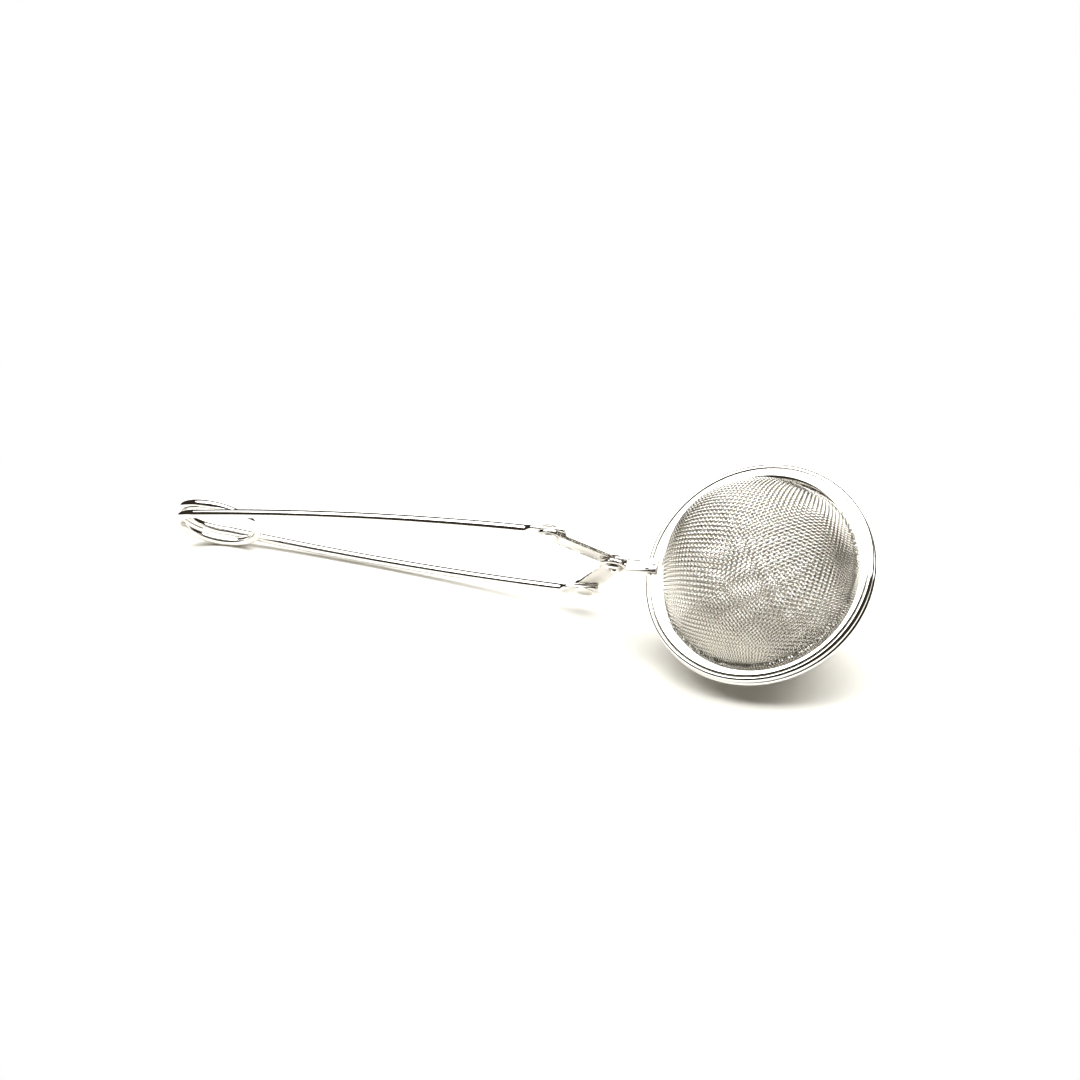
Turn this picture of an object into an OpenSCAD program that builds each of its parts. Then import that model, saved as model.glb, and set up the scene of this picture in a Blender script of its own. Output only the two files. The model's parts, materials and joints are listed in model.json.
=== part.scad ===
// Squeeze-handle tea strainer: a mesh ball in two halves, opened by a sprung wire handle.
// Object axes: X from the handle to the ball, Y along the rivets, Z square to the ball's rims, origin at the ball's
// centre. module lying_down() then lays the whole object on its side, as it rests on a table.

/* [Ball] */
// Outer diameter of the two rims
rim_d = 50.8; // [42:0.1:61]
// Width of each rim, from its outer edge to its opening
rim_w = 3.4; // [2.8:0.1:4]
// Height of each rim
rim_h = 1.5; // [1.3:0.1:2]
// Gap between the closed halves
seam_gap = 0.2; // [0.1:0.05:0.4]
// Gap all round between each rim's opening and its mesh cup
cup_gap = 0.5; // [0.5:0.1:2]
// Radius of the round crown of each mesh cup, above its tapered skirt
crown_r = 20.6; // [17:0.1:21]
// Thickness of the woven mesh
mesh_t = 0.45; // [0.4:0.05:0.6]

/* [Handle wire] */
// Diameter of the wire
wire_d = 2; // [1.65:0.01:2.1]
// Distance from the ball's centre to the coil's centre
handle_len = 130.8; // [109:0.1:157]
// Radius of the coil, to the middle of the wire
coil_r = 9; // [7.5:0.1:10.8]
// Gap between two turns of the coil
coil_gap = 0.4; // [0.12:0.01:0.6]
// Turns in the coil, from one arm to the other
coil_turns = 1.5; // [1.5:1:2.5]
// Sideways offset of the coil from the middle of the hinge
coil_side = 3.5; // [0:0.1:4]
// Angle through which each arm bows
arm_bend = 14; // [4:0.5:16]
// Thickness of the flattened end of each arm
paddle_t = 0.9; // [0.8:0.05:1]
// Length of the flattened end of each arm
paddle_len = 7.4; // [6.5:0.1:8]
// Width of the flattened end of each arm
paddle_w = 3.8; // [3.6:0.1:4.2]

/* [Hinge] */
// Distance from the edge of the rims to the middle rivet
pivot_reach = 8; // [7.5:0.1:10]
// Distance from the middle rivet back to the arm rivets
link_back = 11; // [10:0.1:13]
// Height of each arm rivet above or below the middle rivet, with the ball closed
link_rise = 12.8; // [10.6:0.1:14]
// Thickness of the link plates
link_t = 0.8; // [0.7:0.05:0.9]
// Width of each link's arm
link_w = 4.4; // [4.2:0.1:5]
// Diameter of the middle rivet
pivot_rivet_d = 2.4; // [2.2:0.1:2.6]
// Diameter of the upper arm's rivet
upper_rivet_d = 2; // [1.8:0.1:2.2]
// Diameter of the lower arm's rivet, which has slack in its link
lower_rivet_d = 1.6; // [1.5:0.05:1.7]
// Diameter of the slack hole in the lower link
slack_hole_d = 3; // [3:0.05:3.1]
// Diameter of the arm rivets' heads
head_d = 4.8; // [4.7:0.05:5]

/* [Rest] */
// Angle by which the ball leans over when the strainer lies down
roll = 41; // [30:1:45]

/* [Hidden] */

// Running clearances
rivet_play = 0.05;   // radial, between a rivet and the plate that turns on it
plate_gap = 0.1;     // between plates and under the rivet heads
cut = 0.5;           // how far a cutter reaches past what it cuts

rim_r = rim_d / 2;
wire_r = wire_d / 2;

// Rim section: a rolled lip outside, with a slot that grips the brim of the cup
rim_low = seam_gap / 2;
rim_top = rim_low + rim_h;
lip_r = rim_h / 2;
brim_t = 0.6;
brim_grip = 1.15;                          // lip kept outside the brim
brim_low = rim_low + (rim_h - brim_t) / 2;
rim_mouth_r = rim_r - rim_w;
cup_r = rim_mouth_r - cup_gap;
return_r = rim_mouth_r + 0.6;              // inner edge of the turned-in part under the brim
cup_z = brim_low + 0.3;                    // height of the cup's centre
crown_steps = 24;

// Hinge
pivot_back = rim_r + pivot_reach;         // from the ball's centre to the middle rivet
link_y = plate_gap / 2;                    // inner face of each link, from the middle plane
paddle_y = link_y + link_t + plate_gap / 2;
paddle_mid_y = paddle_y + paddle_t / 2;
link_reach = norm([link_back, link_rise]);
link_angle = atan2(link_rise, link_back);
eye_r = 2.6;
pivot_eye_r = 3.3;
shoulder = 1.9;                            // how far the link's arm runs on past the middle rivet
front_low = rim_top;                       // each link's tab comes to rest on the other link's lower edge
tab_t = link_t;
tab_x0 = -pivot_back + pivot_eye_r + 0.25;
tab_x1 = -rim_r + 2.8;
tab_w = 3.1;
web_x1 = -rim_r - 1.2;                     // where the upright part of a link stops, short of the rim
head_h = 0.75;
pivot_head_d = 4.4;
pivot_bore_d = 1.3;

// Coil: winds from the top, near side, to the bottom, far side
coil_pitch = wire_d + coil_gap;
coil_y0 = coil_side - coil_pitch * coil_turns / 2;
coil_y1 = coil_side + coil_pitch * coil_turns / 2;
coil_step = 10;                            // degrees of turn between two rings of the coil
coil_play = 2;                             // degrees of turn left open between the coil and the lower arm
ring_sides = 16;

// Each arm leaves the coil on a tangent and bows inward on one arc, so that its straight end meets the rivet
paddle_back = paddle_len / 2;
flare = 2.2;                               // length over which the round wire becomes flat
flare_tip_r = 0.3;                         // radius left of the round wire where the flat end begins
arm_tail = paddle_back + flare;
eye_x = handle_len - pivot_back - link_back;
eye_reach = norm([eye_x, link_rise]);
bend_s = sin(arm_bend);
bend_v = 1 - cos(arm_bend);
off_r = coil_r - arm_tail * bend_s;
qa = bend_s * bend_s + bend_v * bend_v;
qb = arm_tail * bend_s * cos(arm_bend) - bend_v * off_r;
qc = pow(arm_tail * cos(arm_bend), 2) + off_r * off_r - eye_reach * eye_reach;
arm_r = (-qb + sqrt(qb * qb - qa * qc)) / qa;          // radius of the arm's bow
along = arm_r * bend_s + arm_tail * cos(arm_bend);
across = off_r - arm_r * bend_v;
slope_coil = atan2(link_rise, eye_x) - atan2(across, along);   // slope of the arm at the coil
slope_eye = slope_coil - arm_bend;                             // and at the rivet

// Resting pitch: the lowest point of the coil comes level with the lowest point of the ball
coil_low_y = coil_y0 + coil_pitch / 2;
function rest_height(p) = crown_r + cup_z * cos(p) * cos(roll);
function coil_drop(p) = coil_r * sqrt(pow(sin(p), 2) + pow(cos(p) * cos(roll), 2)) + wire_r
    - coil_low_y * cos(p) * sin(roll);
function rest_pitch(p, n) = n == 0 ? p
    : rest_pitch(asin((rest_height(p) - coil_drop(p)) / handle_len), n - 1);
pitch = rest_pitch(5, 8);
front_x = rim_r * sqrt(pow(cos(pitch), 2) + pow(sin(pitch) * sin(roll), 2))
    + rim_top * sin(pitch) * cos(roll);
back_x = handle_len * cos(pitch) + wire_r + sin(pitch) * sin(roll) * coil_side
    + coil_r * sqrt(pow(cos(pitch), 2) + pow(sin(pitch) * cos(roll), 2));
rest_shift = [(back_x - front_x) / 2, 0, rest_height(pitch)];

$fn = 96;

module lying_down() {
    translate(rest_shift) rotate([0, -pitch, 0]) rotate([roll, 0, 0]) children();
}

// The lower half of the hinge and ball is the upper half turned over about the X axis
module turned_over() {
    rotate([180, 0, 0]) children();
}

// A plate lying in an XZ plane, from y0 to y0 + t, with its outline drawn as x and z
module upright_plate(y0, t) {
    translate([0, y0 + t, 0]) rotate([90, 0, 0]) linear_extrude(t) children();
}

// A cylinder along Y, from y0 to y1
module pin(d, y0, y1) {
    translate([0, y1, 0]) rotate([90, 0, 0]) cylinder(d = d, h = y1 - y0);
}

// A domed rivet head on the plane y, on the side that dir points to
module rivet_head(d, y, dir) {
    ball_r = (d * d / 4 + head_h * head_h) / (2 * head_h);
    translate([0, y, 0]) rotate([-90 * dir, 0, 0]) intersection() {
        translate([0, 0, head_h - ball_r]) sphere(ball_r);
        cylinder(d = d, h = head_h + cut);
    }
}

// --- Handle ---

// One arm as the upper one: y_coil is the wire's middle at the coil, y_eye at the rivet
module arm(y_coil, y_eye, hole_d) {
    root = [-handle_len - coil_r * sin(slope_coil), y_coil, coil_r * cos(slope_coil)];
    run = eye_x + coil_r * sin(slope_coil) - paddle_back * cos(slope_eye);
    eye = [-pivot_back - link_back, y_eye, link_rise];
    difference() {
        union() {
            translate(root) rotate([0, 0, atan2(y_eye - y_coil, run)]) rotate([90, 0, 0])
                translate([arm_r * sin(slope_coil), -arm_r * cos(slope_coil)]) rotate([0, 0, 90 + slope_eye]) {
                    rotate_extrude(angle = arm_bend, $fn = 1440) translate([arm_r, 0]) circle(wire_r, $fn = 48);
                    translate([arm_r, 0, 0]) rotate([90, 0, 0]) cylinder(r1 = wire_r, r2 = flare_tip_r, h = flare);
                }
            translate(eye) rotate([0, -slope_eye, 0]) upright_plate(-paddle_t / 2, paddle_t) paddle_outline();
        }
        translate(eye) pin(hole_d, -paddle_t, paddle_t);
    }
}

// The flattened end: it widens from the wire, and its two free corners are cut off
module paddle_outline() {
    corner = 0.7;
    polygon([
        [-arm_tail, -wire_r], [-paddle_back, -paddle_w / 2], [paddle_back - corner, -paddle_w / 2],
        [paddle_back, -paddle_w / 2 + corner], [paddle_back, paddle_w / 2 - corner],
        [paddle_back - corner, paddle_w / 2], [-paddle_back, paddle_w / 2], [-arm_tail, wire_r],
    ]);
}

module upper_arm() {
    color("silver") lying_down() arm(coil_y0, paddle_mid_y, upper_rivet_d);
}

module lower_arm() {
    color("silver") lying_down() turned_over() arm(-coil_y1, paddle_mid_y, lower_rivet_d);
}

// The coil runs backward from the upper arm's root, over the top and round to the lower arm's root
module spring_coil() {
    sweep = 360 * coil_turns - 2 * slope_coil - coil_play;
    rings = ceil(sweep / coil_step);
    points = [
        for (i = [0 : rings]) let (
            t = 90 + slope_coil + sweep * i / rings,
            y = coil_y0 + (coil_y1 - coil_y0) * i / rings
        ) for (k = [0 : ring_sides - 1]) let (a = 360 * k / ring_sides, r = coil_r + wire_r * cos(a))
            [-handle_len + r * cos(t), y + wire_r * sin(a), r * sin(t)]
    ];
    sides = [
        for (i = [0 : rings - 1], k = [0 : ring_sides - 1]) let (
            n = (k + 1) % ring_sides, a = i * ring_sides, b = a + ring_sides
        ) [a + k, a + n, b + n, b + k]
    ];
    start = [for (k = [ring_sides - 1 : -1 : 0]) k];
    finish = [for (k = [0 : ring_sides - 1]) rings * ring_sides + k];
    color("silver") lying_down() polyhedron(points, concat([start], sides, [finish]));
}

// --- Hinge ---

// The upper link: a stamped plate whose front edge is folded over into a tab on the rim
module link(eye_hole_d, pivot_hole_d) {
    difference() {
        union() {
            upright_plate(link_y, link_t) link_outline();
            translate([tab_x0, link_y + link_t - tab_w, rim_top]) cube([tab_x1 - tab_x0, tab_w, tab_t]);
        }
        translate([-pivot_back, 0, 0]) pin(pivot_hole_d, 0, link_t + cut);
        translate([-pivot_back - link_back, 0, link_rise]) pin(eye_hole_d, 0, link_t + cut);
    }
}

module link_outline() {
    translate([-pivot_back, 0]) {
        circle(pivot_eye_r);
        rotate(180 - link_angle) translate([-shoulder, -link_w / 2]) square([link_reach + shoulder, link_w]);
        translate([-link_back, link_rise]) circle(eye_r);
        translate([0, -front_low]) square([pivot_back + web_x1, front_low + rim_top + tab_t]);
    }
}

module upper_link() {
    color("gainsboro") lying_down() link(upper_rivet_d + 2 * rivet_play, pivot_rivet_d);
}

module lower_link() {
    color("gainsboro") lying_down() turned_over() link(slack_hole_d, pivot_rivet_d + 2 * rivet_play);
}

// A rivet through one link and one arm, at the upper eye
module arm_rivet(d) {
    inner = link_y - plate_gap / 2;
    outer = paddle_y + paddle_t;
    translate([-pivot_back - link_back, 0, link_rise]) {
        pin(d, inner, outer);
        rivet_head(head_d, inner, -1);
        rivet_head(head_d, outer, 1);
    }
}

module upper_arm_rivet() {
    color("lightgray") lying_down() arm_rivet(upper_rivet_d);
}

module lower_arm_rivet() {
    color("lightgray") lying_down() turned_over() arm_rivet(lower_rivet_d);
}

// The middle rivet is hollow: a tube with a head at each end
module centre_rivet() {
    far = link_y + link_t;
    near = -far - plate_gap / 2;
    color("lightgray") lying_down() translate([-pivot_back, 0, 0]) difference() {
        union() {
            pin(pivot_rivet_d, near, far);
            rivet_head(pivot_head_d, near, -1);
            rivet_head(pivot_head_d, far, 1);
        }
        pin(pivot_bore_d, near - head_h - cut, far + head_h + cut);
    }
}

// --- Ball ---

module rim() {
    rotate_extrude() difference() {
        union() {
            translate([rim_mouth_r, rim_low]) square([rim_w - lip_r, rim_h]);
            translate([rim_r - lip_r, rim_low + lip_r]) circle(lip_r, $fn = 48);
        }
        translate([rim_mouth_r - cut, brim_low]) square([rim_w + cut - brim_grip, brim_t]);
        translate([rim_mouth_r - cut, 0]) square([cut + return_r - rim_mouth_r, brim_low + brim_t / 2]);
    }
}

// Profile of a round crown of radius r, from its top down to where it runs on, on a tangent, into a straight skirt
// that ends at the point foot
function crown(r, foot) =
    let (from_centre = foot - [0, cup_z])
    let (low = atan2(from_centre[1], from_centre[0]) + acos(r / norm(from_centre)))
    concat([for (k = [0 : crown_steps]) let (a = 90 - (90 - low) * k / crown_steps) [r * cos(a), cup_z + r * sin(a)]],
        [foot]);

module mesh_cup() {
    outside = crown(crown_r, [cup_r, brim_low + brim_t]);
    inside = crown(crown_r - mesh_t, [cup_r - mesh_t, brim_low]);
    brim = [[rim_r - brim_grip, brim_low + brim_t], [rim_r - brim_grip, brim_low]];
    rotate_extrude($fn = 128)
        polygon(concat(outside, brim, [for (k = [len(inside) - 1 : -1 : 0]) inside[k]]));
}

module upper_rim() {
    color("whitesmoke") lying_down() rim();
}

module lower_rim() {
    color("whitesmoke") lying_down() turned_over() rim();
}

module upper_mesh_cup() {
    color("darkgray") lying_down() mesh_cup();
}

module lower_mesh_cup() {
    color("darkgray") lying_down() turned_over() mesh_cup();
}

upper_arm();
lower_arm();
spring_coil();
upper_arm_rivet();
lower_arm_rivet();
centre_rivet();
upper_link();
lower_link();
upper_rim();
lower_rim();
upper_mesh_cup();
lower_mesh_cup();
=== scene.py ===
"""Finished look of a squeeze-handle tea strainer, built round its engineering model.

Lengths in the code are metres. The pieces are shaped in the strainer's own axes, with the origin at the ball's
centre, X from the handle to the ball, Y along the rivets and Z square to the rims, and are then laid on the floor.
"""

import json
import math

import bmesh
import bpy
from mathutils import Matrix, Vector


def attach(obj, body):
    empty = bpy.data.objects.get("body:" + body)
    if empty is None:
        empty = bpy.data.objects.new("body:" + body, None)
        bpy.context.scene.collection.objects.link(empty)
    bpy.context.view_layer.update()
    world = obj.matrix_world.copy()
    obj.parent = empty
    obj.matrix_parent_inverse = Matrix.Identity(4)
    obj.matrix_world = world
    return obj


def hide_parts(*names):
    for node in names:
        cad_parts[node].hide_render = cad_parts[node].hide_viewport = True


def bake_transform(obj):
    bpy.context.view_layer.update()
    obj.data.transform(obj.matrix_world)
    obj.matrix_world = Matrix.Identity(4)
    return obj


bl_info = {
    "name": "Squeeze Tea Strainer",
    "version": (1, 0, 0),
    "blender": (4, 5, 0),
    "location": "3D View > Sidebar > Tea Strainer",
    "description": "Builds a stainless steel mesh-ball tea strainer with a sprung wire handle",
    "category": "Add Mesh",
}

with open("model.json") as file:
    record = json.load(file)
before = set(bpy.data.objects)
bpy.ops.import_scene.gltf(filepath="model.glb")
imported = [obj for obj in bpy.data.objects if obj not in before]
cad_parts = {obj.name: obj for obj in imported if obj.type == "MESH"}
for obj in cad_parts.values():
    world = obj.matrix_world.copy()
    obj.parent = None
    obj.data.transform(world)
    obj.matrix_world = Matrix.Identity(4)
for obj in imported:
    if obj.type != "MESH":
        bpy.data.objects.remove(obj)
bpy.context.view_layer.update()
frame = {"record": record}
MM = 0.001

# --- The strainer's own axes, from the joints of the engineering model ---

JOINTS = {joint["name"]: joint for joint in frame["record"]["behaviour"]["joints"]}
PIVOT = Vector(JOINTS["ball_opening"]["pos_m"])
COIL = Vector(JOINTS["coil_flex"]["pos_m"])
EYE = Vector(JOINTS["upper_link_pivot"]["pos_m"])
Y_AXIS = Vector(JOINTS["ball_opening"]["axis"]).normalized()
X_AXIS = (PIVOT - COIL) - (PIVOT - COIL).dot(Y_AXIS) * Y_AXIS
X_AXIS.normalize()
Z_AXIS = X_AXIS.cross(Y_AXIS)
LINK_BACK = (PIVOT - EYE).dot(X_AXIS)
LINK_RISE = (EYE - PIVOT).dot(Z_AXIS)
PIVOT_TO_COIL = (PIVOT - COIL).dot(X_AXIS)
COIL_SIDE = (COIL - PIVOT).dot(Y_AXIS)
TURN_OVER = Matrix.Rotation(math.pi, 4, "X")


def linear(hex_colour):
    """A hex sRGB colour such as "c8c6c2" as the linear colour that Blender's sockets take."""
    parts = [int(hex_colour[i : i + 2], 16) / 255 for i in (0, 2, 4)]
    return tuple(p / 12.92 if p <= 0.04045 else ((p + 0.055) / 1.055) ** 2.4 for p in parts)


def length(name, description, default_mm):
    """A length property whose default is given in millimetres."""
    return bpy.props.FloatProperty(
        name=name, description=description, default=default_mm * MM, min=0, precision=5, unit="LENGTH"
    )


def turn(name, description, default_deg):
    """An angle property whose default is given in degrees."""
    return bpy.props.FloatProperty(
        name=name, description=description, default=math.radians(default_deg), subtype="ANGLE", unit="ROTATION"
    )


def colour(name, description, hex_colour):
    """A colour property whose default is a hex sRGB colour."""
    return bpy.props.FloatVectorProperty(
        name=name, description=description, default=linear(hex_colour), subtype="COLOR", min=0, max=1
    )


class StrainerBall(bpy.types.PropertyGroup):
    """Sizes of the mesh ball."""

    rim_r: length("Rim radius", "Outer radius of each rim", 25.4)
    mouth_r: length("Mouth radius", "Inner radius of each rim", 22)
    rim_low: length("Half seam", "Half of the gap between the closed rims", 0.1)
    rim_h: length("Rim height", "Height of each rim", 1.5)
    cup_r: length("Cup radius", "Outer radius of the foot of each mesh cup", 21.5)
    crown_r: length("Crown radius", "Outer radius of the round crown of each mesh cup", 20.6)
    cup_z: length("Cup height", "Height of each cup's centre over the seam", 0.85)
    mesh_pitch: length("Mesh pitch", "Distance between two wires of the woven mesh", 0.75)
    mesh_wire_d: length("Mesh wire", "Diameter of the wires of the woven mesh", 0.33)
    weave_turn: turn("Weave direction", "Angle of the warp to the handle", 40)


class StrainerHandle(bpy.types.PropertyGroup):
    """Sizes of the wire handle."""

    wire_r: length("Wire radius", "Radius of the handle's wire", 1)
    coil_r: length("Coil radius", "Radius of the coil, to the middle of the wire", 9)
    coil_pitch: length("Coil rise", "Sideways rise of the coil in each turn", 2.4)
    arm_bend: turn("Arm bow", "Angle through which each arm bows", 14)
    paddle_t: length("Flat thickness", "Thickness of each arm's flattened end", 0.9)
    paddle_w: length("Flat width", "Width of each arm's flattened end", 3.8)
    paddle_len: length("Flat length", "Length of each arm's flattened end", 7.4)
    flare: length("Flare", "Length over which the round wire becomes flat", 2.2)


class StrainerHinge(bpy.types.PropertyGroup):
    """Sizes of the links and rivets."""

    pivot_back: length("Pivot distance", "Distance from the ball's centre to the middle rivet", 33.4)
    plate_gap: length("Plate gap", "Gap between two plates that turn on each other", 0.1)
    link_t: length("Link thickness", "Thickness of the link plates", 0.8)
    link_w: length("Link width", "Width of each link's arm", 4.4)
    eye_r: length("Eye radius", "Radius of each link's end round the arm rivet", 2.6)
    pivot_eye_r: length("Pivot radius", "Radius of each link round the middle rivet", 3.3)
    front_low: length("Front depth", "Depth of a link's front part below the middle", 1.6)
    tab_w: length("Tab width", "Width of the tab that lies on the rim", 3.1)
    head_r: length("Head radius", "Radius of the arm rivets' heads", 2.2)
    head_h: length("Head height", "Height of the rivets' heads", 0.75)
    pivot_head_r: length("Middle head radius", "Radius of the middle rivet's heads", 2.2)
    pivot_bore_r: length("Middle bore", "Radius of the hole through the middle rivet", 0.65)


class StrainerFinish(bpy.types.PropertyGroup):
    """Colours of the finishes and of the stage."""

    wire: colour("Spring wire", "Colour of the handle's polished wire", "e6e4e0")
    plate: colour("Plate", "Colour of the stamped links", "e4e1dc")
    rivet: colour("Rivets", "Colour of the rivets", "e2dfd9")
    rim: colour("Rims", "Colour of the rolled rims", "ecebe7")
    mesh: colour("Mesh", "Colour of the woven mesh", "e4e1d9")
    stain: colour("Handling film", "Colour of the faint film that handling leaves", "a79f92")
    floor: colour("Floor", "Colour of the floor", "f1efe8")


class StrainerStage(bpy.types.PropertyGroup):
    """Camera and light."""

    azimuth: turn("Camera azimuth", "Angle of the camera round the strainer", 21.5)
    elevation: turn("Camera elevation", "Angle of the camera above the floor", 27)
    distance: length("Camera distance", "Distance from the camera to the strainer", 800)
    lens: bpy.props.FloatProperty(
        name="Lens", description="Focal length of the camera", default=124.6, unit="CAMERA"
    )
    aim_back: length("Aim back", "Distance that the camera aims to the left of the ball", 47.1)
    aim_up: length("Aim up", "Distance that the camera aims above the ball", 7.3)
    sky: bpy.props.FloatProperty(
        name="Tent brightness", description="Brightness of the white light tent", default=5.4, min=0
    )
    key: bpy.props.FloatProperty(
        name="Overhead light", description="Power of the overhead softbox", default=0.3, unit="POWER", min=0
    )


GROUPS = {
    "strainer_ball": StrainerBall,
    "strainer_handle": StrainerHandle,
    "strainer_hinge": StrainerHinge,
    "strainer_finish": StrainerFinish,
    "strainer_stage": StrainerStage,
}


# --- Placing pieces ---


def resting():
    """The matrix from the strainer's own axes to the floor's."""
    hinge = bpy.context.scene.strainer_hinge
    ball = PIVOT + X_AXIS * hinge.pivot_back
    turned = Matrix((X_AXIS, Y_AXIS, Z_AXIS)).transposed().to_4x4()
    return Matrix.Translation(ball) @ turned


def finished(bm, name, material, body, stands_for, sharp_deg=35, turned_over=False):
    """Makes a piece of a bmesh shaped in the strainer's own axes, and joins it to the engineering model."""
    place = resting() @ TURN_OVER if turned_over else resting()
    bmesh.ops.transform(bm, matrix=place, verts=bm.verts)
    bmesh.ops.recalc_face_normals(bm, faces=bm.faces)
    mesh = bpy.data.meshes.new(name)
    bm.to_mesh(mesh)
    bm.free()
    mesh.shade_smooth()
    mesh.set_sharp_from_angle(angle=math.radians(sharp_deg))
    return joined(mesh, name, material, body, stands_for)


def joined(mesh, name, material, body, stands_for):
    """Shows a finished mesh, with its material, body, replaced nodes and material slot."""
    mesh.materials.append(material)
    piece = bpy.data.objects.new(name, mesh)
    bpy.context.scene.collection.objects.link(piece)
    if body:
        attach(piece, body)
    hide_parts(*stands_for)
    return piece


# --- Materials ---


def add_node(tree, kind, settings=None, inputs=None, **links):
    """Adds a node: settings are its attributes, inputs its socket values, and links join its sockets to outputs."""
    node = tree.nodes.new(kind)
    for key, value in (settings or {}).items():
        setattr(node, key, value)
    for key, value in (inputs or {}).items():
        node.inputs[key].default_value = value
    for key, output in links.items():
        tree.links.new(output, node.inputs[key.replace("_", " ")])
    return node


FILM_PATCH = 9 * MM  # size of the patches of handling film
TORN_GRAIN = 0.45 * MM  # size of the torn grain on a sheared edge
TORN_STEEL = linear("2b2620")


def steel(name, tint, roughness, grain_mm, stretch, bump_mm, film=0.12, sheared=0.0):
    """Polished stainless steel: a bright mirror with fine drawn or rolled grain, and a faint film from handling.

    grain_mm is the size of the grain, and stretch how much longer it is along the strainer. sheared is how dark
    the torn grain is on the edges that a punch has sheared, which are the faces that run along the rivets.
    """
    finish = bpy.context.scene.strainer_finish
    material = bpy.data.materials.new(name)
    material.use_nodes = True
    tree = material.node_tree
    shader = tree.nodes["Principled BSDF"]
    shader.inputs["Metallic"].default_value = 1.0
    where = add_node(tree, "ShaderNodeTexCoord").outputs["Object"]
    along = add_node(tree, "ShaderNodeMapping", inputs={"Scale": (1 / stretch, 1, 1)}, Vector=where)
    grain = add_node(
        tree, "ShaderNodeTexNoise",
        inputs={"Scale": 1 / (grain_mm * MM), "Detail": 4.0, "Roughness": 0.6},
        Vector=along.outputs["Vector"],
    )
    cloud = add_node(
        tree, "ShaderNodeTexNoise",
        inputs={"Scale": 1 / FILM_PATCH, "Detail": 3.0, "Roughness": 0.55}, Vector=where,
    )
    dull = add_node(
        tree, "ShaderNodeMapRange",
        inputs={"From Min": 0.3, "From Max": 0.75, "To Min": roughness * 0.75, "To Max": roughness * 1.6},
        Value=cloud.outputs["Fac"],
    )
    tree.links.new(dull.outputs["Result"], shader.inputs["Roughness"])
    filmed = add_node(
        tree, "ShaderNodeMapRange", inputs={"From Min": 0.52, "From Max": 0.8, "To Min": 0.0, "To Max": film},
        Value=cloud.outputs["Fac"],
    )
    mixed = add_node(
        tree, "ShaderNodeMix", settings={"data_type": "RGBA"},
        inputs={"A": (*tint, 1), "B": (*finish.stain, 1)}, Factor=filmed.outputs["Result"],
    )
    base = mixed.outputs["Result"]
    if sheared:
        facing = add_node(
            tree, "ShaderNodeVectorMath", settings={"operation": "DOT_PRODUCT"}, inputs={1: tuple(Y_AXIS)}
        )
        tree.links.new(add_node(tree, "ShaderNodeNewGeometry").outputs["True Normal"], facing.inputs[0])
        flat = add_node(tree, "ShaderNodeMath", settings={"operation": "ABSOLUTE"})
        tree.links.new(facing.outputs["Value"], flat.inputs[0])
        edge = add_node(
            tree, "ShaderNodeMapRange", inputs={"From Min": 0.1, "From Max": 0.3, "To Min": 1.0, "To Max": 0.0},
            Value=flat.outputs["Value"],
        )
        torn = add_node(
            tree, "ShaderNodeTexNoise", inputs={"Scale": 1 / TORN_GRAIN, "Detail": 2.0}, Vector=where
        )
        pits = add_node(
            tree, "ShaderNodeMapRange",
            inputs={"From Min": 0.42, "From Max": 0.56, "To Min": 0.0, "To Max": sheared},
            Value=torn.outputs["Fac"],
        )
        share = add_node(tree, "ShaderNodeMath", settings={"operation": "MULTIPLY"})
        tree.links.new(edge.outputs["Result"], share.inputs[0])
        tree.links.new(pits.outputs["Result"], share.inputs[1])
        base = add_node(
            tree, "ShaderNodeMix", settings={"data_type": "RGBA"}, inputs={"B": (*TORN_STEEL, 1)},
            Factor=share.outputs["Value"], A=base,
        ).outputs["Result"]
    tree.links.new(base, shader.inputs["Base Color"])
    bump = add_node(
        tree, "ShaderNodeBump", inputs={"Strength": 0.35, "Distance": bump_mm * MM}, Height=grain.outputs["Fac"]
    )
    tree.links.new(bump.outputs["Normal"], shader.inputs["Normal"])
    return material


def spring_wire():
    """Bright drawn stainless spring wire: the die leaves it mirror-smooth, with hair lines along its length."""
    finish = bpy.context.scene.strainer_finish
    return steel("bright drawn spring wire", finish.wire, 0.04, 0.12, 60, 0.004)


def stamped_plate():
    """Stamped and tumbled stainless sheet: polished, with the soft waves that tumbling leaves."""
    finish = bpy.context.scene.strainer_finish
    return steel("tumbled stamped steel", finish.plate, 0.13, 0.5, 1.5, 0.02, film=0.25, sheared=0.85)


def folded_tab():
    """The links' folded tabs: the same sheet as the links, without sheared edges that show."""
    finish = bpy.context.scene.strainer_finish
    return steel("tumbled folded steel", finish.plate, 0.1, 0.5, 1.5, 0.02)


def rivet_metal():
    """Headed stainless rivets: polished heads with small marks from the setting tool."""
    finish = bpy.context.scene.strainer_finish
    return steel("headed rivet steel", finish.rivet, 0.12, 0.35, 1, 0.012, film=0.25)


def rolled_rim():
    """Rolled and buffed stainless sheet: almost a mirror."""
    finish = bpy.context.scene.strainer_finish
    return steel("buffed rolled steel", finish.rim, 0.055, 0.6, 1, 0.006)


def woven_cloth():
    """Woven stainless wire cloth: bright wires, a little duller than the polished parts.

    The finest cloth of this kind wouldn't show, so the mesh pitch is as coarse as it needs to be to show.
    """
    finish = bpy.context.scene.strainer_finish
    return steel("woven steel wire cloth", finish.mesh, 0.17, 0.2, 1, 0.004, film=0.3)


def material_named(maker):
    """The material that a maker function builds, built once."""
    key = "strainer_" + maker.__name__
    if key not in bpy.context.scene:
        bpy.context.scene[key] = maker().name
    return bpy.data.materials[bpy.context.scene[key]]


# --- Wire: a section carried along a line of stations ---

WIRE_SIDES = 32


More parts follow.
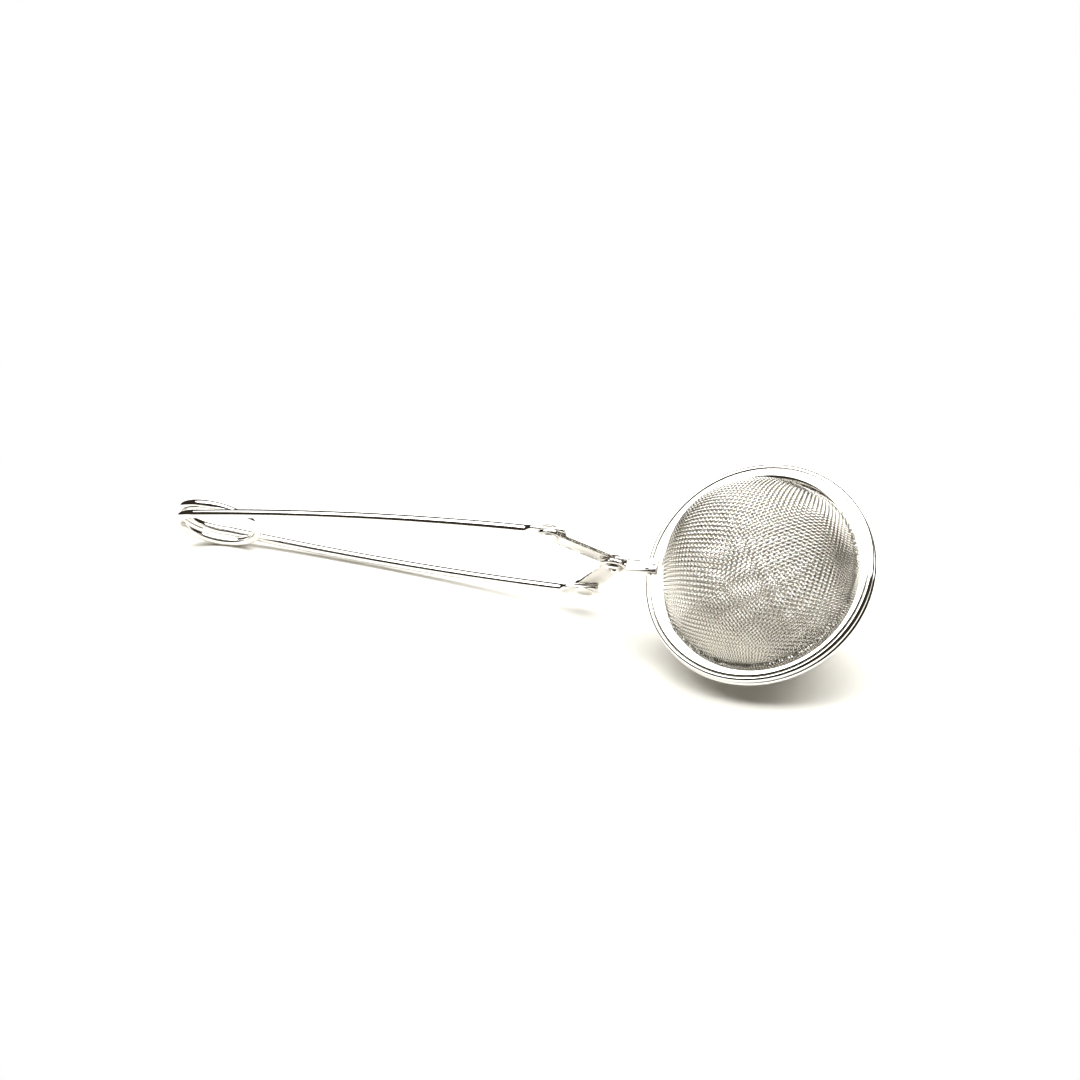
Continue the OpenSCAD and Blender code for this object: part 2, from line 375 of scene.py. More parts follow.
def swept(stations):
    """A closed rod. Each station is (place, half width, half thickness): the section at that place.

    The section starts as a circle as wide as the station; what is thicker than the station is pressed flat.
    """
    bm = bmesh.new()
    angle_of = bm.verts.layers.float.new("angle")
    ring = bmesh.ops.create_circle(bm, cap_ends=True, radius=1, segments=WIRE_SIDES)["verts"]
    for k, vert in enumerate(ring):
        vert[angle_of] = math.tau * k / WIRE_SIDES
    edges = list({edge for vert in ring for edge in vert.link_edges})
    for number, (place, half_w, half_t, full_t) in enumerate(stations):
        if number:
            grown = bmesh.ops.extrude_edge_only(bm, edges=edges)["geom"]
            ring = [item for item in grown if isinstance(item, bmesh.types.BMVert)]
            edges = [item for item in grown if isinstance(item, bmesh.types.BMEdge)]
            edges = [edge for edge in edges if all(vert in set(ring) for vert in edge.verts)]
        for vert in ring:
            angle = vert[angle_of]
            side = max(-half_t, min(half_t, full_t * math.sin(angle)))
            vert.co = place @ Vector((0, side, half_w * math.cos(angle)))
    bmesh.ops.contextual_create(bm, geom=edges)
    return bm


def station(point, slope, yaw):
    """The place of a section at a point of the handle, on a line that rises by slope and turns sideways by yaw."""
    return Matrix.Translation(point) @ Matrix.Rotation(yaw, 4, "Z") @ Matrix.Rotation(-slope, 4, "Y")


class ArmLine:
    """The middle line of an arm, which leaves the coil on a tangent and bows inward on one arc to its flat end."""

    def __init__(self, scene, y_coil, y_eye):
        handle, hinge = scene.strainer_handle, scene.strainer_hinge
        self.eye = Vector((-hinge.pivot_back - LINK_BACK, y_eye, LINK_RISE))
        self.coil_x = -hinge.pivot_back - PIVOT_TO_COIL
        self.coil_r = handle.coil_r
        self.bend = handle.arm_bend
        self.flare = handle.flare
        self.tail = handle.paddle_len / 2 + self.flare
        reach_x = self.eye.x - self.coil_x
        sine, sag = math.sin(self.bend), 1 - math.cos(self.bend)
        off = self.coil_r - self.tail * sine
        a = sine * sine + sag * sag
        b = self.tail * sine * math.cos(self.bend) - sag * off
        c = (self.tail * math.cos(self.bend)) ** 2 + off * off - reach_x**2 - LINK_RISE**2
        self.bow_r = (-b + math.sqrt(b * b - a * c)) / a
        along = self.bow_r * sine + self.tail * math.cos(self.bend)
        across = off - self.bow_r * sag
        self.slope_coil = math.atan2(LINK_RISE, reach_x) - math.atan2(across, along)
        self.slope_eye = self.slope_coil - self.bend
        self.root = Vector((
            self.coil_x - self.coil_r * math.sin(self.slope_coil), y_coil, self.coil_r * math.cos(self.slope_coil)
        ))
        run = self.eye.x - handle.paddle_len / 2 * math.cos(self.slope_eye) - self.root.x
        self.yaw = math.atan2(y_eye - y_coil, run)

    def on_bow(self, share):
        """The place of a section on the bow: share is 0 at the coil and 1 where the wire begins to flatten."""
        slope = self.slope_coil - self.bend * share
        x = self.coil_x + (self.bow_r - self.coil_r) * math.sin(self.slope_coil) - self.bow_r * math.sin(slope)
        z = (self.coil_r - self.bow_r) * math.cos(self.slope_coil) + self.bow_r * math.cos(slope)
        y = self.root.y + (x - self.root.x) * math.tan(self.yaw)
        return station(Vector((x, y, z)), slope, self.yaw)

    def on_tail(self, back):
        """The place of a section on the straight end, at a distance back from the rivet."""
        offset = Vector((math.cos(self.slope_eye), 0, math.sin(self.slope_eye))) * -back
        start_y = self.on_bow(1).translation.y
        y = self.eye.y + (start_y - self.eye.y) * max(0, min(1, (back - self.tail + self.flare) / self.flare))
        point = self.eye + offset
        point.y = y
        return station(point, self.slope_eye, 0)


def eased(share):
    """0 to 1 with a soft start and end."""
    share = max(0.0, min(1.0, share))
    return share * share * (3 - 2 * share)


BOW_STATIONS = 28
FLARE_STATIONS = 8
CORNER = 0.8 * MM  # length of the cut corners of a flat end


def arm_stations(line, handle):
    """Stations of an arm from the coil to its flat, corner-cut end."""
    wire_r, half_t, half_w = handle.wire_r, handle.paddle_t / 2, handle.paddle_w / 2
    rows = [(line.on_bow(k / BOW_STATIONS), wire_r, wire_r, wire_r) for k in range(BOW_STATIONS)]
    for k in range(FLARE_STATIONS + 1):
        pressed = eased(k / FLARE_STATIONS)
        back = line.tail - handle.flare * k / FLARE_STATIONS
        rows.append((
            line.on_tail(back), wire_r + (half_w - wire_r) * pressed, wire_r + (half_t - wire_r) * pressed, wire_r
        ))
    tip = handle.paddle_len / 2
    for back, width, thick in (
        (0.0, half_w, half_t),
        (CORNER * 1.2 - tip, half_w, half_t),
        (CORNER - tip, half_w * 0.98, half_t),
        (CORNER * 0.5 - tip, half_w * 0.86, half_t),
        (CORNER * 0.15 - tip, half_w * 0.72, half_t * 0.9),
        (-tip, half_w * 0.66, half_t * 0.6),
    ):
        rows.append((line.on_tail(back), width, thick, wire_r))
    return rows


def paddle_y(hinge, handle):
    """Distance of the middle of an arm's flat end from the hinge's middle plane."""
    return hinge.plate_gap + hinge.link_t + handle.paddle_t / 2


COIL_TURNS = 1.5


def coil_ends(handle):
    """Sideways places of the coil's two ends: the upper arm's and the lower arm's."""
    half = handle.coil_pitch * COIL_TURNS / 2
    return COIL_SIDE - half, COIL_SIDE + half


class STRAINER_OT_arms(bpy.types.Operator):
    """Make the two arms of the handle, with their flattened ends"""

    bl_idname = "strainer.arms"
    bl_label = "Handle Arms"

    def execute(self, context):
        scene = context.scene
        handle, hinge = scene.strainer_handle, scene.strainer_hinge
        near, far = coil_ends(handle)
        for name, body, y_coil, over in (
            ("upper_arm", "upper_handle", near, False),
            ("lower_arm", "lower_handle", -far, True),
        ):
            line = ArmLine(scene, y_coil, paddle_y(hinge, handle))
            bm = swept(arm_stations(line, handle))
            finished(
                bm, name + "_wire", material_named(spring_wire), body, [name],
                sharp_deg=ROD_SHARP_DEG, turned_over=over,
            )
        return {"FINISHED"}


COIL_RINGS = 150
ROD_SHARP_DEG = 50  # edges of a rod sharper than this stay crisp


class STRAINER_OT_coil(bpy.types.Operator):
    """Make the coil of the handle as one fixed piece; on the real strainer it winds up as the arms are squeezed"""

    bl_idname = "strainer.coil"
    bl_label = "Spring Coil"

    def execute(self, context):
        scene = context.scene
        handle, hinge = scene.strainer_handle, scene.strainer_hinge
        near, far = coil_ends(handle)
        line = ArmLine(scene, near, paddle_y(hinge, handle))
        sweep = math.tau * COIL_TURNS - 2 * line.slope_coil
        rows = []
        for k in range(COIL_RINGS + 1):
            share = k / COIL_RINGS
            angle = math.pi / 2 + line.slope_coil + sweep * share
            middle = Vector((line.coil_x, near + (far - near) * share, 0))
            outward = Vector((math.cos(angle), 0, math.sin(angle)))
            place = Matrix.Translation(middle + outward * handle.coil_r)
            place = place @ Matrix.Rotation(math.pi / 2 - angle, 4, "Y")
            rows.append((place, handle.wire_r, handle.wire_r, handle.wire_r))
        piece = finished(
            swept(rows), "spring_coil_wire", material_named(spring_wire), None, ["spring_coil"],
            sharp_deg=ROD_SHARP_DEG,
        )
        place = resting()
        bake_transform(piece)
        return {"FINISHED"}


# --- Hinge ---


def arc(cx, cz, radius, start_deg, end_deg, steps):
    """Points of an arc in the XZ plane, as (x, z)."""
    return [
        (cx + radius * math.cos(math.radians(a)), cz + radius * math.sin(math.radians(a)))
        for a in (start_deg + (end_deg - start_deg) * k / steps for k in range(steps + 1))
    ]


def link_outline(hinge, top_z, front_x):
    """Outline of a link in its own plane, from its front round the middle rivet to the arm rivet and back."""
    px, ex, ez = -hinge.pivot_back, -hinge.pivot_back - LINK_BACK, LINK_RISE
    half_w = hinge.link_w / 2
    lean = math.degrees(math.atan2(LINK_RISE, -LINK_BACK))
    pivot_spread = math.degrees(math.asin(half_w / hinge.pivot_eye_r))
    eye_spread = math.degrees(math.asin(half_w / hinge.eye_r))
    low = math.degrees(math.asin(hinge.front_low / hinge.pivot_eye_r))
    along = Vector((math.cos(math.radians(lean)), math.sin(math.radians(lean))))
    across = Vector((along.y, -along.x)) * half_w
    knee = Vector((px, 0)) + across + along * (top_z - across.y) / along.y
    points = [(front_x, top_z), (front_x, -hinge.front_low)]
    points += arc(px, 0, hinge.pivot_eye_r, -low, lean + pivot_spread - 360, 22)
    points += arc(ex, ez, hinge.eye_r, lean + 180 - eye_spread, lean - 180 + eye_spread, 28)
    points += [(knee.x, knee.y)]
    return points


def plate(outline, y0, thickness, edge):
    """An upright plate with softened edges, from its outline as (x, z)."""
    bm = bmesh.new()
    face = bm.faces.new([bm.verts.new((x, y0, z)) for x, z in outline])
    grown = bmesh.ops.extrude_face_region(bm, geom=[face])["geom"]
    moved = [item for item in grown if isinstance(item, bmesh.types.BMVert)]
    bmesh.ops.translate(bm, verts=moved, vec=(0, thickness, 0))
    bmesh.ops.recalc_face_normals(bm, faces=bm.faces)
    flat = [e for e in bm.edges if e.calc_face_angle(0) > math.radians(60)]
    bmesh.ops.bevel(
        bm, geom=flat, offset=edge, offset_type="OFFSET", affect="EDGES", segments=2, profile=0.5, material=-1
    )
    return bm


def block(bm, low, high, edge):
    """Adds a box with softened edges between two corners."""
    low, high = Vector(low), Vector(high)
    verts = bmesh.ops.create_cube(bm, size=1)["verts"]
    bmesh.ops.scale(bm, vec=high - low, verts=verts)
    bmesh.ops.translate(bm, vec=(low + high) / 2, verts=verts)
    edges = list({e for v in verts for e in v.link_edges})
    bmesh.ops.bevel(
        bm, geom=edges, offset=edge, offset_type="OFFSET", affect="EDGES", segments=3, profile=0.5, material=-1
    )


def lathe(profile, steps, closed=True):
    """Turns a profile of (radius, height) points round Z. Points at radius 0 close on the axis."""
    bm = bmesh.new()
    verts = [bm.verts.new((r, 0, z)) for r, z in profile]
    edges = [bm.edges.new(pair) for pair in zip(verts, verts[1:])]
    if closed:
        edges.append(bm.edges.new((verts[-1], verts[0])))
    bmesh.ops.spin(
        bm, geom=verts + edges, cent=(0, 0, 0), axis=(0, 0, 1), angle=math.tau, steps=steps, use_merge=True
    )
    bmesh.ops.remove_doubles(bm, verts=bm.verts, dist=1e-7)
    return bm


LINK_EDGE = 0.12 * MM
TAB_EDGE = 0.24 * MM
WELD_R = 0.55 * MM
TAB_WELDS = ((0.9 * MM, 0.35), (2.3 * MM, 0.65))  # distance from the tab's tip, and share of its width


class STRAINER_OT_links(bpy.types.Operator):
    """Make the two stamped links, each with its tab spot-welded to a rim"""

    bl_idname = "strainer.links"
    bl_label = "Links"

    def execute(self, context):
        ball, hinge = context.scene.strainer_ball, context.scene.strainer_hinge
        rim_top = ball.rim_low + ball.rim_h
        inner = hinge.plate_gap / 2
        outer = inner + hinge.link_t
        tab_x0 = -hinge.pivot_back + hinge.pivot_eye_r + 0.25 * MM
        tab_x1 = -ball.rim_r + 2.8 * MM
        for name, body, over in (("upper_link", "upper_half", False), ("lower_link", "lower_half", True)):
            outline = link_outline(hinge, rim_top + hinge.link_t, -ball.rim_r - 1.2 * MM)
            bm = plate(outline, inner, hinge.link_t, LINK_EDGE)
            finished(
                bm, name + "_plate", material_named(stamped_plate), body, [name], turned_over=over
            )
            bm = bmesh.new()
            low = (tab_x0, outer - hinge.tab_w, rim_top - 0.06 * MM)
            high = (tab_x1, outer - 0.02 * MM, rim_top + hinge.link_t - 0.02 * MM)
            block(bm, low, high, TAB_EDGE)
            for ahead, aside in TAB_WELDS:
                middle = Vector((tab_x1 - ahead, outer - hinge.tab_w * aside, high[2]))
                verts = bmesh.ops.create_uvsphere(bm, u_segments=20, v_segments=12, radius=WELD_R)["verts"]
                bmesh.ops.scale(bm, vec=(1, 1, 0.3), verts=verts)
                bmesh.ops.translate(bm, vec=middle, verts=verts)
            finished(bm, name + "_tab", material_named(folded_tab), body, [name], turned_over=over)
        return {"FINISHED"}


ARM_SHANK_R = 0.8 * MM
PIVOT_SHANK_R = 1.2 * MM
RIVET_SIDES = 48
DOME_STEPS = 8


def dome(radius, height):
    """Profile of a rivet's head standing on height 0, from its foot to its crown."""
    foot = 0.16 * height
    points = [(radius * 0.97, 0), (radius, foot * 0.5), (radius * 0.97, foot)]
    for k in range(1, DOME_STEPS + 1):
        angle = math.pi / 2 * k / DOME_STEPS
        points.append((radius * 0.95 * math.cos(angle), foot + (height - foot) * math.sin(angle)))
    return points


class STRAINER_OT_rivets(bpy.types.Operator):
    """Make the two domed arm rivets and the hollow middle rivet"""

    bl_idname = "strainer.rivets"
    bl_label = "Rivets"

    def execute(self, context):
        handle, hinge = context.scene.strainer_handle, context.scene.strainer_hinge
        outer = hinge.plate_gap + hinge.link_t + handle.paddle_t
        for name, body, over in (
            ("upper_arm_rivet", "upper_handle", False),
            ("lower_arm_rivet", "lower_handle", True),
        ):
            head = dome(hinge.head_r, hinge.head_h)
            top = [(r, outer + h) for r, h in head]
            bottom = [(r, -h) for r, h in reversed(head)]
            profile = bottom + [(ARM_SHANK_R, 0), (ARM_SHANK_R, outer)] + top
            bm = lathe(profile, RIVET_SIDES, closed=False)
            self.stand(bm, Vector((-hinge.pivot_back - LINK_BACK, 0, LINK_RISE)))
            finished(
                bm, name + "_headed", material_named(rivet_metal), body, [name], turned_over=over
            )
        far = hinge.plate_gap / 2 + hinge.link_t
        bore = hinge.pivot_bore_r
        crest = hinge.pivot_head_r * 0.74
        head = [
            (hinge.pivot_head_r * 0.97, 0), (hinge.pivot_head_r, 0.14 * MM),
            (hinge.pivot_head_r * 0.95, 0.36 * MM),
            (crest + 0.25 * MM, 0.62 * MM), (crest, 0.72 * MM), (crest - 0.25 * MM, 0.64 * MM),
            (bore + 0.42 * MM, 0.38 * MM), (bore + 0.2 * MM, 0), (bore, -0.4 * MM),
        ]
        top = [(r, far + h) for r, h in head]
        bottom = [(r, -far - hinge.plate_gap / 2 - h) for r, h in reversed(head)]
        profile = bottom + [(PIVOT_SHANK_R, -far), (PIVOT_SHANK_R, far)] + top
        bm = lathe(profile, RIVET_SIDES)
        self.stand(bm, Vector((-hinge.pivot_back, 0, 0)))
        finished(
            bm, "centre_rivet_rolled", material_named(rivet_metal), "upper_half", ["centre_rivet"]
        )
        return {"FINISHED"}

    @staticmethod
    def stand(bm, point):
        """Turns a lathe shape from Z to Y and moves it to a rivet's place."""
        matrix = Matrix.Translation(point) @ Matrix.Rotation(-math.pi / 2, 4, "X")
        bmesh.ops.transform(bm, matrix=matrix, verts=bm.verts)


# --- Ball ---

HALVES = (("upper", "upper_half", False), ("lower", "lower_half", True))
RIM_SIDES = 192
COLLAR_SIDES = 160
RIM_WALL = 0.45 * MM  # thickness of the rim's sheet above and below the cup's brim
BRIM_GRIP = 1.15 * MM  # how far the lip reaches past the brim
RETURN_W = 0.6 * MM  # how far the turned-in part stands back from the mouth


def rim_profile(ball):
    """Section of a rim: a rolled lip outside, a shallow crease, and a flat that grips the cup's brim."""
    low, top = ball.rim_low, ball.rim_low + ball.rim_h
    lip_r = ball.rim_h / 2
    lip_x = ball.rim_r - lip_r
    slot_low, slot_high = low + RIM_WALL, top - RIM_WALL
    slot_r = ball.rim_r - BRIM_GRIP
    return_r = ball.mouth_r + RETURN_W
    soft = 0.12 * MM
    flat = top - 0.07 * MM
    crease = lip_x - 0.45 * MM
    return (
        [(ball.mouth_r, slot_high), (ball.mouth_r, flat - soft), (ball.mouth_r + soft * 0.3, flat - soft * 0.3)]
        + [(ball.mouth_r + soft, flat), (crease - 0.4 * MM, flat), (crease - 0.15 * MM, flat - 0.03 * MM)]
        + [(crease, flat - 0.12 * MM), (crease + 0.12 * MM, flat - 0.07 * MM)]
        + arc(lip_x, low + lip_r, lip_r, 105, -90, 18)
        + [(return_r + soft, low), (return_r, low + soft)]
        + [(return_r, slot_low), (slot_r, slot_low), (slot_r, slot_high)]
    )


class STRAINER_OT_rims(bpy.types.Operator):
    """Make the two rolled rims"""

    bl_idname = "strainer.rims"
    bl_label = "Rims"

    def execute(self, context):
        ball = context.scene.strainer_ball
        for half, body, over in HALVES:
            bm = lathe(rim_profile(ball), RIM_SIDES)
            finished(
                bm, half + "_rim_rolled", material_named(rolled_rim), body, [half + "_rim"],
                turned_over=over,
            )
        return {"FINISHED"}


CLOTH_LOWEST = -0.055  # how far below the cup's centre the cloth runs on, as a share of its radius
NARROW_CELL = 0.15  # the cloth stops where a cell has closed up to this share of its width


def draped_net(radius, pitch, lowest):
    """Crossings of a square-woven cloth pressed over a ball, keyed by (warp, weft) numbers from the crown.

    The wires keep their spacing along their length, so each cell is a rhombus: its fourth corner is the mirror
    image of the first in the plane through the other two and the ball's centre.
    """
    step = pitch / radius
    reach = int((math.pi / 2 - math.asin(lowest)) / step)
    net = {}
    for n in range(reach + 1):
        around, up = math.sin(n * step), math.cos(n * step)
        for key, spot in (
            ((n, 0), (around, 0, up)), ((-n, 0), (-around, 0, up)),
            ((0, n), (0, around, up)), ((0, -n), (0, -around, up)),
        ):
            net[key] = Vector(spot)
    for si, sj in ((1, 1), (1, -1), (-1, 1), (-1, -1)):
        for i in range(1, reach + 1):
            for j in range(1, reach + 1):
                corner = net.get((si * (i - 1), sj * (j - 1)))
                beside, above = net.get((si * i, sj * (j - 1))), net.get((si * (i - 1), sj * j))
                if not (corner and beside and above):
                    break
                normal = beside.cross(above)
                if normal.length < NARROW_CELL * step:
                    break
                normal.normalize()
                spot = corner - 2 * corner.dot(normal) * normal
                if spot.z < lowest:
                    break
                net[si * i, sj * j] = spot
    return net


def pressed(spot, depth, ball):
    """Where a spot of the cloth, given as its direction from the cup's centre, lies once the cup is pressed.

    depth is how far under the cup's outer face it lies. The crown is round; below it the cloth runs on, on a
    tangent, into a straight skirt, and then turns outward into the rim.
    """
    radius, foot_r = ball.crown_r - depth, ball.cup_r - depth
    low = math.acos(radius / foot_r)
    skirt = math.sqrt(foot_r * foot_r - radius * radius)
    rise = math.asin(max(-1.0, min(1.0, spot.z)))
    if rise >= low:
        return spot * radius
    along = radius * (low - rise)
    outward = Vector((spot.x, spot.y, 0)).normalized()
    if along < skirt:
        across = radius * math.cos(low) + along * math.sin(low)
        height = radius * math.sin(low) - along * math.cos(low)
    else:
        across, height = foot_r + along - skirt, -depth
    return outward * across + Vector((0, 0, height))


KNUCKLE = 0.2  # distance of a wire's bends from each crossing, as a share of the pitch
SWING = 0.9  # how far a wire weaves up and down, as a share of its radius


def woven_wires(net, warp, ball):
    """Middle lines of the warp or weft wires, which pass over and under at alternate crossings."""
    swing = ball.mesh_wire_d / 2 * SWING
    middle = ball.mesh_wire_d
    rows = {}
    for i, j in net:
        rows.setdefault(i if warp else j, []).append(j if warp else i)
    lines = []
    for row, crossings in rows.items():
        spots = []
        for k in sorted(crossings):
            here = net[(row, k) if warp else (k, row)]
            over = 1 if (row + k + warp) % 2 else -1
            for step in (-1, 1):
                beside = net.get((row, k + step) if warp else (k + step, row))
                if beside:
                    spots.append(pressed(here.lerp(beside, KNUCKLE).normalized(), middle - over * swing, ball))
        if len(spots) > 2:
            lines.append(spots)
    return lines


def wires_mesh(name, lines, wire_r, place):
    """One mesh of round wires along many lines."""
    curve = bpy.data.curves.new(name, "CURVE")
    curve.dimensions = "3D"
    curve.bevel_depth = wire_r
    curve.bevel_resolution = 1
    curve.use_fill_caps = True
    for line in lines:
        spline = curve.splines.new("POLY")
        spline.points.add(len(line) - 1)
        for point, spot in zip(spline.points, line):
            point.co = (*(place @ spot), 1)
    holder = bpy.data.objects.new(name, curve)
    bpy.context.scene.collection.objects.link(holder)
    depsgraph = bpy.context.evaluated_depsgraph_get()
    mesh = bpy.data.meshes.new_from_object(holder.evaluated_get(depsgraph))
    bpy.data.objects.remove(holder)
    bpy.data.curves.remove(curve)
    mesh.name = name
    mesh.shade_smooth()
    return mesh


class STRAINER_OT_cups(bpy.types.Operator):
    """Weave the two mesh cups, warp and weft, and make the collar that clamps each into its rim"""

    bl_idname = "strainer.cups"
    bl_label = "Mesh Cups"

    def execute(self, context):
        ball = context.scene.strainer_ball
        net = draped_net(ball.crown_r, ball.mesh_pitch, CLOTH_LOWEST)
        for half, body, over in HALVES:
            place = resting() @ TURN_OVER if over else resting()
            place = place @ Matrix.Translation((0, 0, ball.cup_z)) @ Matrix.Rotation(ball.weave_turn, 4, "Z")
            for warp, family in ((0, "weft"), (1, "warp")):
                name = f"{half}_cup_{family}"
                mesh = wires_mesh(name, woven_wires(net, warp, ball), ball.mesh_wire_d / 2, place)
                joined(mesh, name, material_named(woven_cloth), body, [half + "_mesh_cup"])
            collar = [
                (ball.rim_r - 1.2 * MM, ball.cup_z - 0.1 * MM), (ball.rim_r - 1.2 * MM, ball.cup_z - 0.3 * MM),
                (ball.cup_r - 0.2 * MM, ball.cup_z - 0.45 * MM), (ball.cup_r - 0.35 * MM, ball.cup_z - 0.3 * MM),
                (ball.cup_r - 0.2 * MM, ball.cup_z - 0.2 * MM),
            ]
            finished(
                lathe(collar, COLLAR_SIDES), half + "_rim_collar", material_named(rolled_rim), body,
                [half + "_rim"], turned_over=over,
            )
        return {"FINISHED"}


# --- Stage ---


# The softbox's edges. The front and back ones are angles from the horizon at the front, over the top. The side
# one is the sine of the height at which the box ends, and the blur is how soft each edge is, on the same scale.
SOFTBOX_FRONT = math.radians(68)
SOFTBOX_BACK = math.radians(124)
SOFTBOX_SIDES = 0.6
SOFTBOX_BLUR = 0.05
DARK_ROOM = linear("15120f")
WHITE = linear("ffffff")

# The paper sheet that the strainer lies on, and the overhead lamp, in metres


SHEET_WIDE, SHEET_DEEP, SHEET_BACK = 0.3, 0.22, 0.01
SHEET_SIDES = 128
LAMP_SIZE = 0.5
LAMP_FROM_BALL = Vector((-0.1, 0.25, 0.6))


def light_tent(scene, front):
    """White strip softbox overhead in a dark room: the steel mirrors both, with a sharp edge between them."""
    settings = scene.strainer_stage
    world = bpy.data.worlds.new("light tent")
    scene.world = world
    world.use_nodes = True
    tree = world.node_tree
    tree.nodes.clear()
    where = add_node(tree, "ShaderNodeTexCoord").outputs["Generated"]

    def inside(edge_normal, offset):
        """How far inside one edge of the softbox a direction lies. Each edge is a plane through the strainer."""
        across = add_node(
            tree, "ShaderNodeVectorMath", settings={"operation": "DOT_PRODUCT"}, inputs={1: edge_normal}
        )
        tree.links.new(where, across.inputs[0])
        shifted = add_node(tree, "ShaderNodeMath", settings={"operation": "SUBTRACT"}, inputs={1: offset})
        tree.links.new(across.outputs["Value"], shifted.inputs[0])
        return shifted.outputs["Value"]

    def least(a, b):
        """The smaller of two values."""
        node = add_node(tree, "ShaderNodeMath", settings={"operation": "MINIMUM"})
        tree.links.new(a, node.inputs[0])
        tree.links.new(b, node.inputs[1])
        return node.outputs["Value"]

    def leaning(rise):
        """The normal of an edge that rises by an angle from the horizon at the front."""
        return (-front[0] * math.sin(rise), -front[1] * math.sin(rise), math.cos(rise))

    near_edge = inside(leaning(SOFTBOX_FRONT), 0)
    far_edge = inside(leaning(SOFTBOX_BACK - math.pi), 0)
    within = least(least(near_edge, far_edge), inside((0, 0, 1), SOFTBOX_SIDES))
    dark = add_node(
        tree, "ShaderNodeMapRange", settings={"interpolation_type": "SMOOTHSTEP"},
        inputs={"From Min": 0, "From Max": SOFTBOX_BLUR, "To Min": 1.0, "To Max": 0.0}, Value=within,
    )
    tent = add_node(
        tree, "ShaderNodeMix", settings={"data_type": "RGBA"},
        inputs={"A": (*WHITE, 1), "B": (*DARK_ROOM, 1)}, Factor=dark.outputs["Result"],
    )
    mirrored = add_node(
        tree, "ShaderNodeBackground", inputs={"Strength": settings.sky}, Color=tent.outputs["Result"]
    )
    seen = add_node(tree, "ShaderNodeBackground", inputs={"Color": (*WHITE, 1), "Strength": 1.0})
    mix = add_node(
        tree, "ShaderNodeMixShader", Fac=add_node(tree, "ShaderNodeLightPath").outputs["Is Camera Ray"]
    )
    tree.links.new(mirrored.outputs[0], mix.inputs[1])
    tree.links.new(seen.outputs[0], mix.inputs[2])
    add_node(tree, "ShaderNodeOutputWorld", Surface=mix.outputs[0])


def paper_floor():
    """Matt white paper sweep."""
    material = bpy.data.materials.new("matt white paper")
    material.use_nodes = True
    tree = material.node_tree
    shader = tree.nodes["Principled BSDF"]
    shader.inputs["Base Color"].default_value = (*bpy.context.scene.strainer_finish.floor, 1)
    shader.inputs["Roughness"].default_value = 0.9
    shader.inputs["Specular IOR Level"].default_value = 0.2
    return material


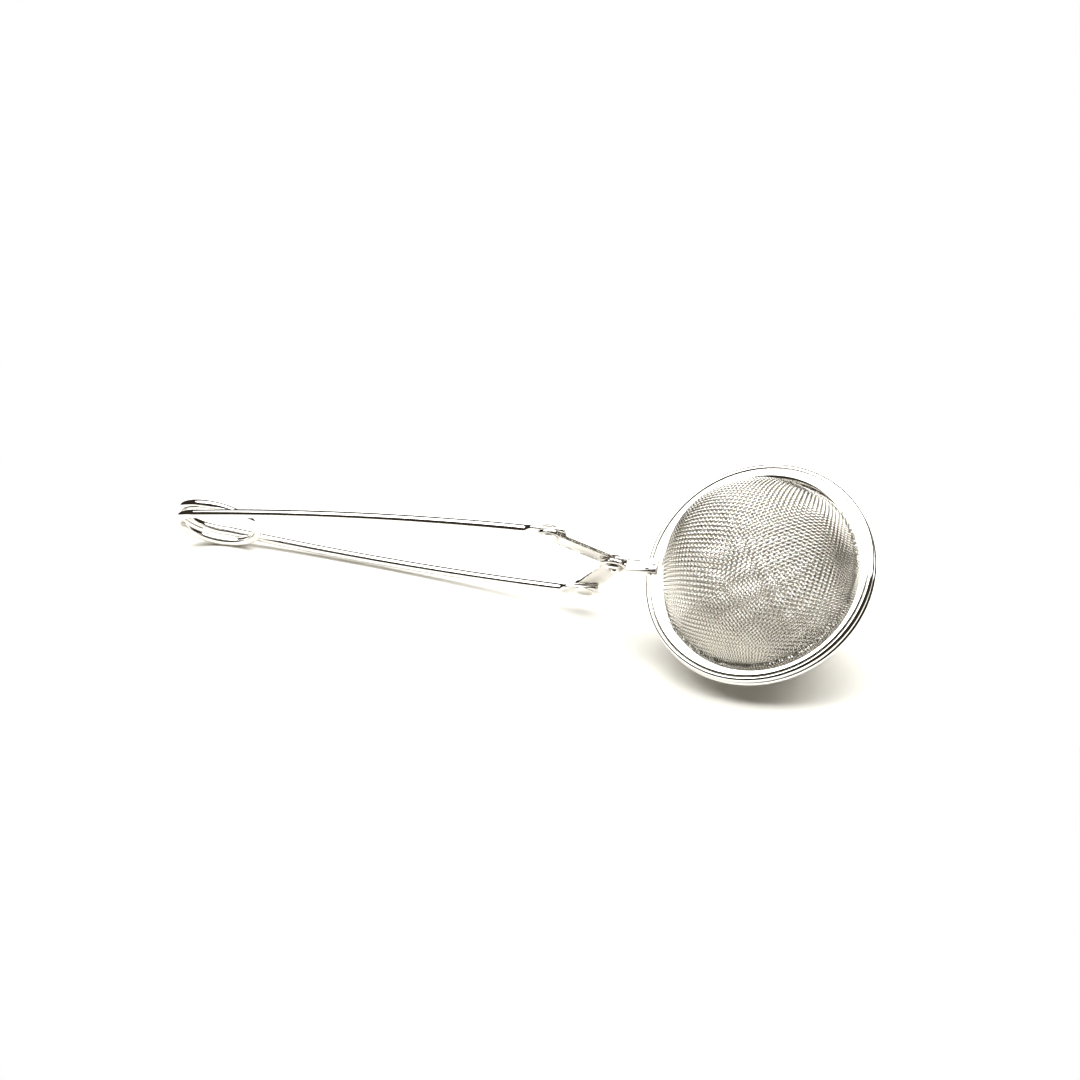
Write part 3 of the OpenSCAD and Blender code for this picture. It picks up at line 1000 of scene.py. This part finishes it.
class STRAINER_OT_stage(bpy.types.Operator):
    """Set the floor, the light tent, the overhead light and the camera"""

    bl_idname = "strainer.stage"
    bl_label = "Stage"

    def execute(self, context):
        scene = context.scene
        settings = scene.strainer_stage
        az, el = settings.azimuth, settings.elevation
        back = Vector((math.sin(az) * math.cos(el), -math.cos(az) * math.cos(el), math.sin(el)))
        right = Vector((math.cos(az), math.sin(az), 0))
        up = back.cross(right)
        ball = resting().translation

        bm = bmesh.new()
        bmesh.ops.create_circle(bm, cap_ends=True, radius=SHEET_WIDE / 2, segments=SHEET_SIDES)
        bmesh.ops.scale(bm, vec=(1, SHEET_DEEP / SHEET_WIDE, 1), verts=bm.verts)
        bmesh.ops.translate(bm, vec=(0, SHEET_BACK, 0), verts=bm.verts)
        bmesh.ops.rotate(bm, cent=(0, 0, 0), matrix=Matrix.Rotation(az, 3, "Z"), verts=bm.verts)
        mesh = bpy.data.meshes.new("floor")
        bm.to_mesh(mesh)
        bm.free()
        mesh.materials.append(paper_floor())
        floor = bpy.data.objects.new("floor", mesh)
        scene.collection.objects.link(floor)

        light_tent(scene, (math.sin(az), -math.cos(az), 0))
        lamp = bpy.data.lights.new("overhead softbox", "AREA")
        lamp.shape = "DISK"
        lamp.size = LAMP_SIZE
        lamp.energy = settings.key
        softbox = bpy.data.objects.new("overhead softbox", lamp)
        softbox.location = ball + LAMP_FROM_BALL
        softbox.rotation_mode = "QUATERNION"
        softbox.rotation_quaternion = (softbox.location - ball).to_track_quat("Z", "Y")
        scene.collection.objects.link(softbox)

        data = bpy.data.cameras.new("camera")
        data.lens = settings.lens
        data.sensor_width = 36
        data.clip_start, data.clip_end = 0.01, 20
        camera = bpy.data.objects.new("camera", data)
        camera.location = ball - right * settings.aim_back + up * settings.aim_up + back * settings.distance
        camera.rotation_mode = "QUATERNION"
        camera.rotation_quaternion = back.to_track_quat("Z", "Y")
        scene.collection.objects.link(camera)
        scene.camera = camera
        scene.view_settings.view_transform = "Standard"
        return {"FINISHED"}


OPERATORS = (
    STRAINER_OT_stage,
    STRAINER_OT_arms,
    STRAINER_OT_coil,
    STRAINER_OT_links,
    STRAINER_OT_rivets,
    STRAINER_OT_rims,
    STRAINER_OT_cups,
)


class STRAINER_PT_panel(bpy.types.Panel):
    """Sizes, finishes and pieces of the tea strainer"""

    bl_idname = "STRAINER_PT_panel"
    bl_label = "Tea Strainer"
    bl_space_type = "VIEW_3D"
    bl_region_type = "UI"
    bl_category = "Tea Strainer"

    def draw(self, context):
        for group, kind in GROUPS.items():
            column = self.layout.box().column()
            for name in kind.__annotations__:
                column.prop(getattr(context.scene, group), name)
        for operator in OPERATORS:
            self.layout.operator(operator.bl_idname)


def register():
    """Registers the groups of sizes, the operators and the panel."""
    for kind in (*GROUPS.values(), *OPERATORS, STRAINER_PT_panel):
        bpy.utils.register_class(kind)
    for name, kind in GROUPS.items():
        setattr(bpy.types.Scene, name, bpy.props.PointerProperty(type=kind))


def unregister():
    """Removes what register added."""
    for name in GROUPS:
        delattr(bpy.types.Scene, name)
    for kind in reversed((*GROUPS.values(), *OPERATORS, STRAINER_PT_panel)):
        bpy.utils.unregister_class(kind)


def main():
    """Builds the strainer and its stage."""
    register()
    for operator in OPERATORS:
        group, name = operator.bl_idname.split(".")
        getattr(getattr(bpy.ops, group), name)()


if __name__ == "__main__":
    main()
